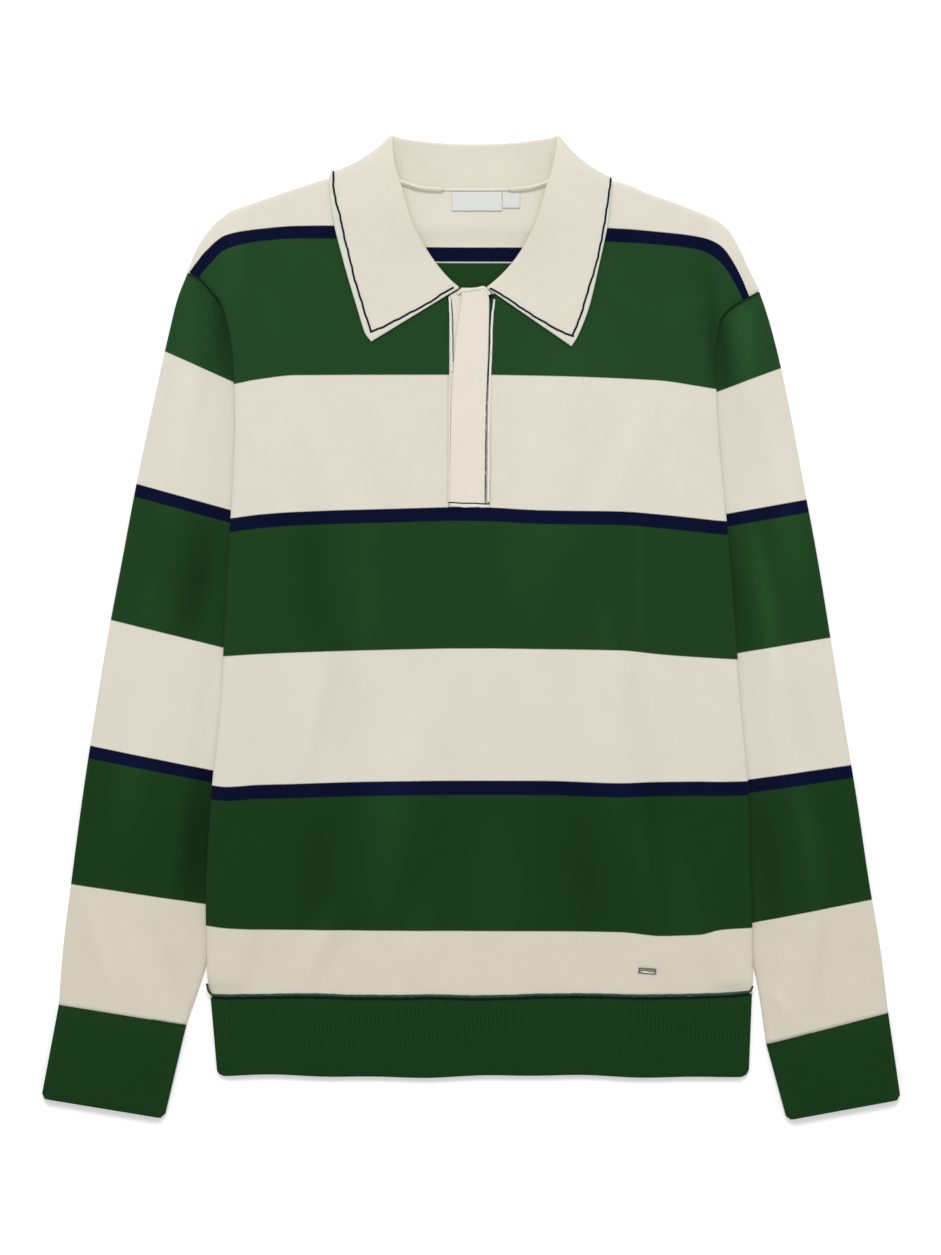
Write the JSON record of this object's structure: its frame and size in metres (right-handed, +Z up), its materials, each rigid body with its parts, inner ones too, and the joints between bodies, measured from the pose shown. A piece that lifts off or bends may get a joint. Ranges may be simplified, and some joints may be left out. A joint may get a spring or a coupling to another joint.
{
  "type": "popover shirt, laid flat",
  "caption": "Long-sleeved knitted popover shirt with a flat collar, hidden placket and rib hem and cuffs, laid flat face up.",
  "frame": {"origin": "middle of the shirt's outline, on the surface that it lies on", "axes": "+X across the shirt to the viewer's right, +Y from hem to collar, +Z up from the surface towards the viewer"},
  "size_m": [0.6672, 0.7642, 0.0106],
  "materials": {
    "body_knit": "fine plain knit with broad cream, green and navy stripes",
    "sleeve_knit": "fine plain knit with broad cream, green and navy stripes",
    "rib_knit": "fine green rib knit",
    "collar_knit": "firm cream knit with a navy chain line",
    "label_cloth": "smooth woven label, blank",
    "tab_metal": "satin, bare"
  },
  "bodies": {
    "root": {"front": "body_knit", "back": "body_knit", "sleeve_left": "sleeve_knit", "sleeve_right": "sleeve_knit", "cuff_left": "rib_knit", "cuff_right": "rib_knit", "waistband": "rib_knit", "collar": "collar_knit", "placket_over": "collar_knit", "placket_under": "collar_knit", "label_main": "label_cloth", "label_size": "label_cloth", "metal_tab": "tab_metal"}
  },
  "joints": []
}
